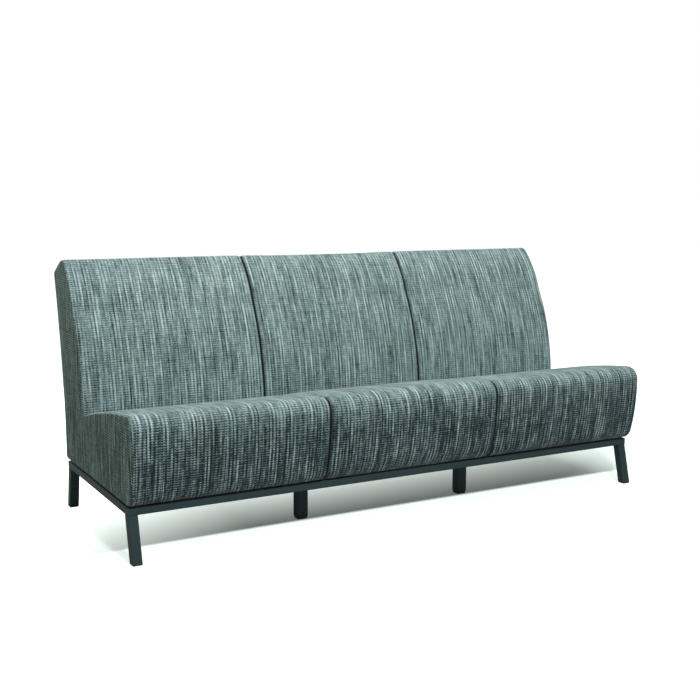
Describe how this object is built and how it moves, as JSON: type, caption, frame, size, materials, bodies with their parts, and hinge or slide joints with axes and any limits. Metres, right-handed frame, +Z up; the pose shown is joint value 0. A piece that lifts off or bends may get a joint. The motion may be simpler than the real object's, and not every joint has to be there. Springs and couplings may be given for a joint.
{
  "type": "armless sofa",
  "caption": "Armless upholstered sofa with separate seats in a row, a leaning back and a square steel tube base on short legs.",
  "frame": {"origin": "middle of the sofa's footprint, on the floor", "axes": "+X along the sofa to the right seen from the front, +Y from the front to the back, +Z up"},
  "size_m": [1.98, 0.831, 0.872],
  "materials": {
    "powder_coated_steel": "satin",
    "dark_plastic": "matte",
    "plywood": "matte",
    "webbing": "matte",
    "foam": "matte",
    "woven_fabric": "matte",
    "zinc_steel": "satin",
    "rubber_spacer": "matte",
    "lining_cloth": "matte"
  },
  "bodies": {
    "sofa": {"front_rail": "powder_coated_steel", "rear_rail": "powder_coated_steel", "left_side_rail": "powder_coated_steel", "left_cross_rail": "powder_coated_steel", "left_middle_leg": "powder_coated_steel", "front_left_leg": "powder_coated_steel", "front_left_glide": "dark_plastic", "rear_left_leg": "powder_coated_steel", "rear_left_glide": "dark_plastic", "left_levelling_insert": "dark_plastic", "left_end_panel": "plywood", "left_seam_rib": "plywood", "left_end_padding": "foam", "left_end_cover": "woven_fabric", "right_side_rail": "powder_coated_steel", "right_cross_rail": "powder_coated_steel", "right_middle_leg": "powder_coated_steel", "front_right_leg": "powder_coated_steel", "front_right_glide": "dark_plastic", "rear_right_leg": "powder_coated_steel", "rear_right_glide": "dark_plastic", "right_levelling_insert": "dark_plastic", "right_end_panel": "plywood", "right_seam_rib": "plywood", "right_end_padding": "foam", "right_end_cover": "woven_fabric", "mounting_tabs": "powder_coated_steel", "mounting_screws": "zinc_steel", "tab_spacers": "rubber_spacer", "front_board": "plywood", "front_base_rail": "plywood", "rear_base_rail": "plywood", "seat_rear_rail": "plywood", "lower_back_rail": "plywood", "top_rail": "plywood", "back_board": "plywood", "corner_blocks": "plywood", "seat_webbing": "webbing", "back_webbing": "webbing", "left_seat_foam": "foam", "left_back_foam": "foam", "left_seat_cover": "woven_fabric", "left_back_cover": "woven_fabric", "centre_seat_foam": "foam", "centre_back_foam": "foam", "centre_seat_cover": "woven_fabric", "centre_back_cover": "woven_fabric", "right_seat_foam": "foam", "right_back_foam": "foam", "right_seat_cover": "woven_fabric", "right_back_cover": "woven_fabric", "outside_back_cover": "woven_fabric", "dust_cover": "lining_cloth"},
    "left_foot_pad": {"left_levelling_pad": "dark_plastic"},
    "left_foot_stem": {"left_levelling_stem": "zinc_steel"},
    "right_foot_pad": {"right_levelling_pad": "dark_plastic"},
    "right_foot_stem": {"right_levelling_stem": "zinc_steel"}
  },
  "joints": [
    {"name": "left_foot_slide", "type": "slide", "parent": "sofa", "child": "left_foot_pad", "axis": [0, 0, -1], "range_m": [0, 0.01]},
    {"name": "left_foot_turn", "type": "hinge", "parent": "left_foot_pad", "child": "left_foot_stem", "pos_m": [-0.33, -0.19345, 0.02], "axis": [0, 0, 1], "range_deg": [0, 2880]},
    {"name": "right_foot_slide", "type": "slide", "parent": "sofa", "child": "right_foot_pad", "axis": [0, 0, -1], "range_m": [0, 0.01]},
    {"name": "right_foot_turn", "type": "hinge", "parent": "right_foot_pad", "child": "right_foot_stem", "pos_m": [0.33, -0.19345, 0.02], "axis": [0, 0, 1], "range_deg": [0, 2880]}
  ],
  "couplings": [
    {"joint": "left_foot_slide", "follows": "left_foot_turn", "m_per_rad": 0.00019894},
    {"joint": "right_foot_slide", "follows": "right_foot_turn", "m_per_rad": 0.00019894}
  ]
}
